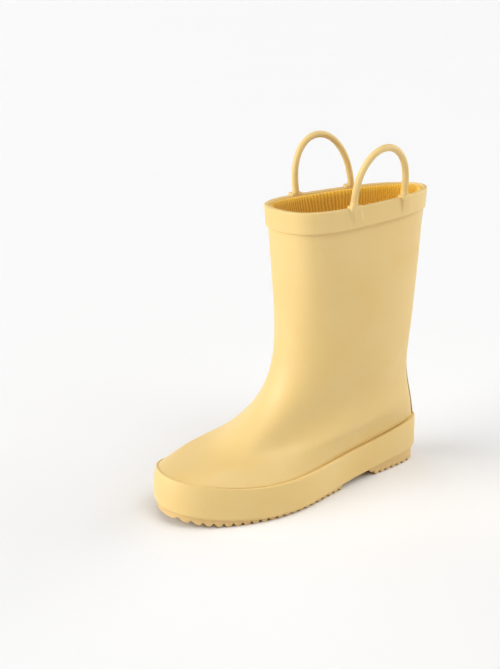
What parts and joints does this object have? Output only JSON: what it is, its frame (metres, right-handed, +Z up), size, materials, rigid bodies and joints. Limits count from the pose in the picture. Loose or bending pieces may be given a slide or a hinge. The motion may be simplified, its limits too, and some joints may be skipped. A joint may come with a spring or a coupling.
{
  "type": "rain boot",
  "caption": "Child's pull-on rubber rain boot with tall foxing, ribbed sole, knit lining and pull loops on both sides of the opening.",
  "frame": {"origin": "on the floor, under the middle of the boot's whole box", "axes": "+Z up, toe towards -Y, heel towards +Y, outer side of the foot towards +X"},
  "size_m": [0.0744, 0.19, 0.2192],
  "materials": {
    "rubber": "matte satin moulded rubber",
    "sole_rubber": "matte moulded rubber, ribbed",
    "knit_lining": "brushed cotton knit",
    "board": "pressed fibre",
    "foam": "cut soft foam",
    "canvas": "rubberised canvas"
  },
  "bodies": {
    "boot": {"upper": "rubber", "collar_band": "rubber", "back_stay": "rubber", "foxing_band": "rubber", "outsole": "sole_rubber", "heel": "sole_rubber", "tab_outer_front": "rubber", "tab_outer_back": "rubber", "tab_inner_front": "rubber", "tab_inner_back": "rubber", "leg_lining": "knit_lining", "foot_lining": "knit_lining", "insole_board": "board", "sole_filler": "board", "heel_counter": "board", "toe_puff": "board", "ankle_patch_outer": "canvas", "ankle_patch_inner": "canvas"},
    "handle_outer": {"handle_outer": "rubber"},
    "handle_inner": {"handle_inner": "rubber"},
    "footbed": {"footbed_foam": "foam", "footbed_cover": "knit_lining"}
  },
  "joints": [
    {"name": "handle_outer_flex", "type": "hinge", "parent": "boot", "child": "handle_outer", "pos_m": [0.02585, 0.01951, 0.18554], "axis": [-0.0914, 0.9949, 0.0425], "range_deg": [-40, 65], "stiffness_Nm_per_rad": 0.02},
    {"name": "handle_inner_flex", "type": "hinge", "parent": "boot", "child": "handle_inner", "pos_m": [-0.0277, 0.0166, 0.18541], "axis": [-0.0784, -0.996, -0.0425], "range_deg": [-40, 65], "stiffness_Nm_per_rad": 0.02},
    {"name": "footbed_lift", "type": "hinge", "parent": "boot", "child": "footbed", "pos_m": [0, -0.0878, 0.0125], "axis": [1, 0, 0], "range_deg": [0, 6]}
  ]
}
